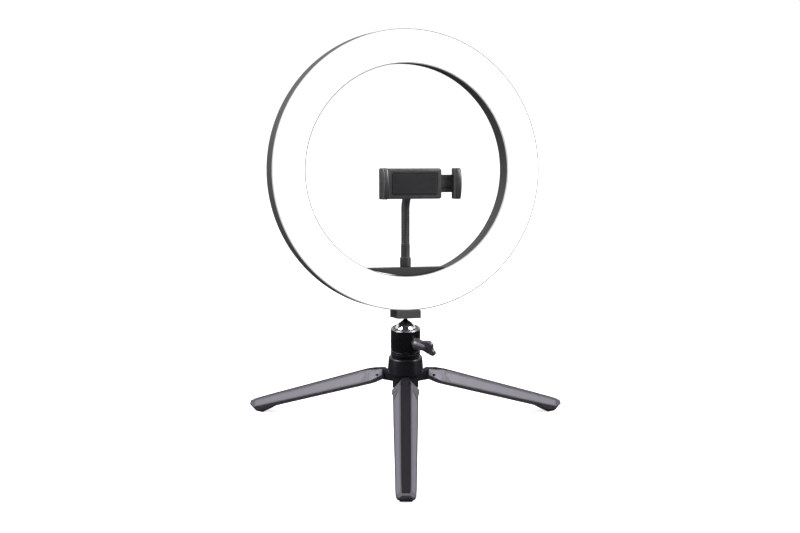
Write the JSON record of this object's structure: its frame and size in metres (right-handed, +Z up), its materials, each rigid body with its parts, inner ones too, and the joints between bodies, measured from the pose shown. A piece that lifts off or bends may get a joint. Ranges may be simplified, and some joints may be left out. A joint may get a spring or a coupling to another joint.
{
  "type": "ring light",
  "caption": "Desk ring light on a folding three-leg stand, with a lockable ball head under the ring and a bending neck that carries a spring phone clamp.",
  "frame": {"origin": "middle of the footprint of the whole object at rest, on the table under the feet", "axes": "+Z up; the front leg points along -Y and the lit face looks towards -Y, turned a little towards +X"},
  "size_m": [0.3536, 0.3074, 0.439],
  "materials": {
    "leg_shell": "satin",
    "leg_inlay": "matte",
    "black_rubber": "matte",
    "hub_plastic": "satin",
    "head_black": "satin",
    "ball_chrome": "polished",
    "steel": "satin",
    "brass": "satin",
    "seat_nylon": "matte",
    "housing_plastic": "matte",
    "diffuser": "satin",
    "board": "matte",
    "lead": "matte",
    "socket": "satin",
    "neck_black": "satin",
    "clamp_plastic": "satin"
  },
  "bodies": {
    "base": {"tripod_hub": "hub_plastic", "hub_screw": "steel", "hub_cap": "hub_plastic", "pan_washer": "black_rubber", "hinge_pin_front": "steel", "hinge_pin_left": "steel", "hinge_pin_right": "steel"},
    "leg_front": {"leg_front": "leg_shell", "leg_strip_front": "leg_inlay", "foot_front": "black_rubber"},
    "leg_left": {"leg_left": "leg_shell", "leg_strip_left": "leg_inlay", "foot_left": "black_rubber"},
    "leg_right": {"leg_right": "leg_shell", "leg_strip_right": "leg_inlay", "foot_right": "black_rubber"},
    "head": {"ball_housing": "head_black", "ball_seat": "seat_nylon", "brake_shoe": "brass"},
    "lock_knob": {"wing_knob": "head_black", "lock_screw": "steel"},
    "ball_stem": {"ball": "ball_chrome", "stem_screw": "steel"},
    "light": {"light_base_block": "housing_plastic", "thread_insert": "brass", "block_screw_1": "steel", "block_screw_2": "steel", "ring_rear_housing": "housing_plastic", "ring_diffuser": "diffuser", "led_board": "board", "board_screw_1": "steel", "board_screw_2": "steel", "board_screw_3": "steel", "board_screw_4": "steel", "power_socket": "socket", "power_lead": "lead", "crossbar": "housing_plastic"},
    "neck_base": {"neck_ferrule": "neck_black"},
    "neck_1": {"neck_link_1": "neck_black"},
    "neck_2": {"neck_link_2": "neck_black"},
    "neck_3": {"neck_link_3": "neck_black"},
    "neck_4": {"neck_link_4": "neck_black"},
    "neck_end": {"neck_tip": "neck_black"},
    "clamp_pivot": {"clamp_socket": "clamp_plastic"},
    "clamp_nut": {"clamp_lock_ring": "clamp_plastic"},
    "clamp": {"clamp_frame": "clamp_plastic", "jaw_pad_left": "black_rubber", "clamp_spring": "steel"},
    "jaw": {"clamp_slider": "clamp_plastic", "jaw_pad_right": "black_rubber"}
  },
  "joints": [
    {"name": "leg_front_fold", "type": "hinge", "parent": "base", "child": "leg_front", "pos_m": [0, 0.01746, 0.0684], "axis": [1, 0, 0], "range_deg": [0, 69.7]},
    {"name": "leg_left_fold", "type": "hinge", "parent": "base", "child": "leg_left", "pos_m": [-0.02598, 0.06246, 0.0684], "axis": [-0.5, -0.866, 0], "range_deg": [0, 69.7]},
    {"name": "leg_right_fold", "type": "hinge", "parent": "base", "child": "leg_right", "pos_m": [0.02598, 0.06246, 0.0684], "axis": [-0.5, 0.866, 0], "range_deg": [0, 69.7]},
    {"name": "head_pan", "type": "hinge", "parent": "base", "child": "head", "pos_m": [0, 0.04746, 0.1], "axis": [0, 0, 1], "continuous": true},
    {"name": "lock_knob_turn", "type": "hinge", "parent": "head", "child": "lock_knob", "pos_m": [0, 0.04746, 0.11], "axis": [0.6691, -0.7431, 0], "range_deg": [0, 180]},
    {"name": "ball_tilt", "type": "hinge", "parent": "head", "child": "ball_stem", "pos_m": [0, 0.04746, 0.1193], "axis": [1, 0, 0], "range_deg": [-24, 46]},
    {"name": "light_spin", "type": "hinge", "parent": "ball_stem", "child": "light", "pos_m": [0, 0.04746, 0.1193], "axis": [0, 0.1908, 0.9816], "range_deg": [-160, 160]},
    {"name": "neck_swivel", "type": "hinge", "parent": "light", "child": "neck_base", "pos_m": [0, 0.06158, 0.19194], "axis": [0, 0.1908, 0.9816], "range_deg": [-45, 45]},
    {"name": "neck_bend_1", "type": "hinge", "parent": "neck_base", "child": "neck_1", "pos_m": [0, 0.06589, 0.21413], "axis": [0.9478, 0.3131, -0.0609], "range_deg": [-10, 7]},
    {"name": "neck_bend_2", "type": "hinge", "parent": "neck_1", "child": "neck_2", "pos_m": [0, 0.06975, 0.23395], "axis": [0.9478, 0.3131, -0.0609], "range_deg": [-10, 7]},
    {"name": "neck_bend_3", "type": "hinge", "parent": "neck_2", "child": "neck_3", "pos_m": [0, 0.07352, 0.25339], "axis": [0.9478, 0.3131, -0.0609], "range_deg": [-10, 7]},
    {"name": "neck_bend_4", "type": "hinge", "parent": "neck_3", "child": "neck_4", "pos_m": [0.0023, 0.06931, 0.26745], "axis": [0.9478, 0.3131, -0.0609], "range_deg": [-10, 7]},
    {"name": "neck_bend_5", "type": "hinge", "parent": "neck_4", "child": "neck_end", "pos_m": [0.00593, 0.06013, 0.27688], "axis": [0.9478, 0.3131, -0.0609], "range_deg": [-10, 7]},
    {"name": "clamp_tilt", "type": "hinge", "parent": "neck_end", "child": "clamp_pivot", "pos_m": [0.01053, 0.04729, 0.28233], "axis": [0.9478, 0.3131, -0.0609], "range_deg": [-14, 14]},
    {"name": "clamp_nut_turn", "type": "hinge", "parent": "clamp_pivot", "child": "clamp_nut", "pos_m": [0.01053, 0.04729, 0.28233], "axis": [0.319, -0.9304, 0.1808], "range_deg": [0, 90]},
    {"name": "clamp_rotate", "type": "hinge", "parent": "clamp_pivot", "child": "clamp", "pos_m": [0.01053, 0.04729, 0.28233], "axis": [0.319, -0.9304, 0.1808], "range_deg": [-90, 90]},
    {"name": "jaw_slide", "type": "slide", "parent": "clamp", "child": "jaw", "axis": [0.9478, 0.3131, -0.0609], "range_m": [-0.013, 0.018], "stiffness_N_per_m": 60, "springref_m": -0.03, "deforming": ["clamp_spring"]}
  ]
}
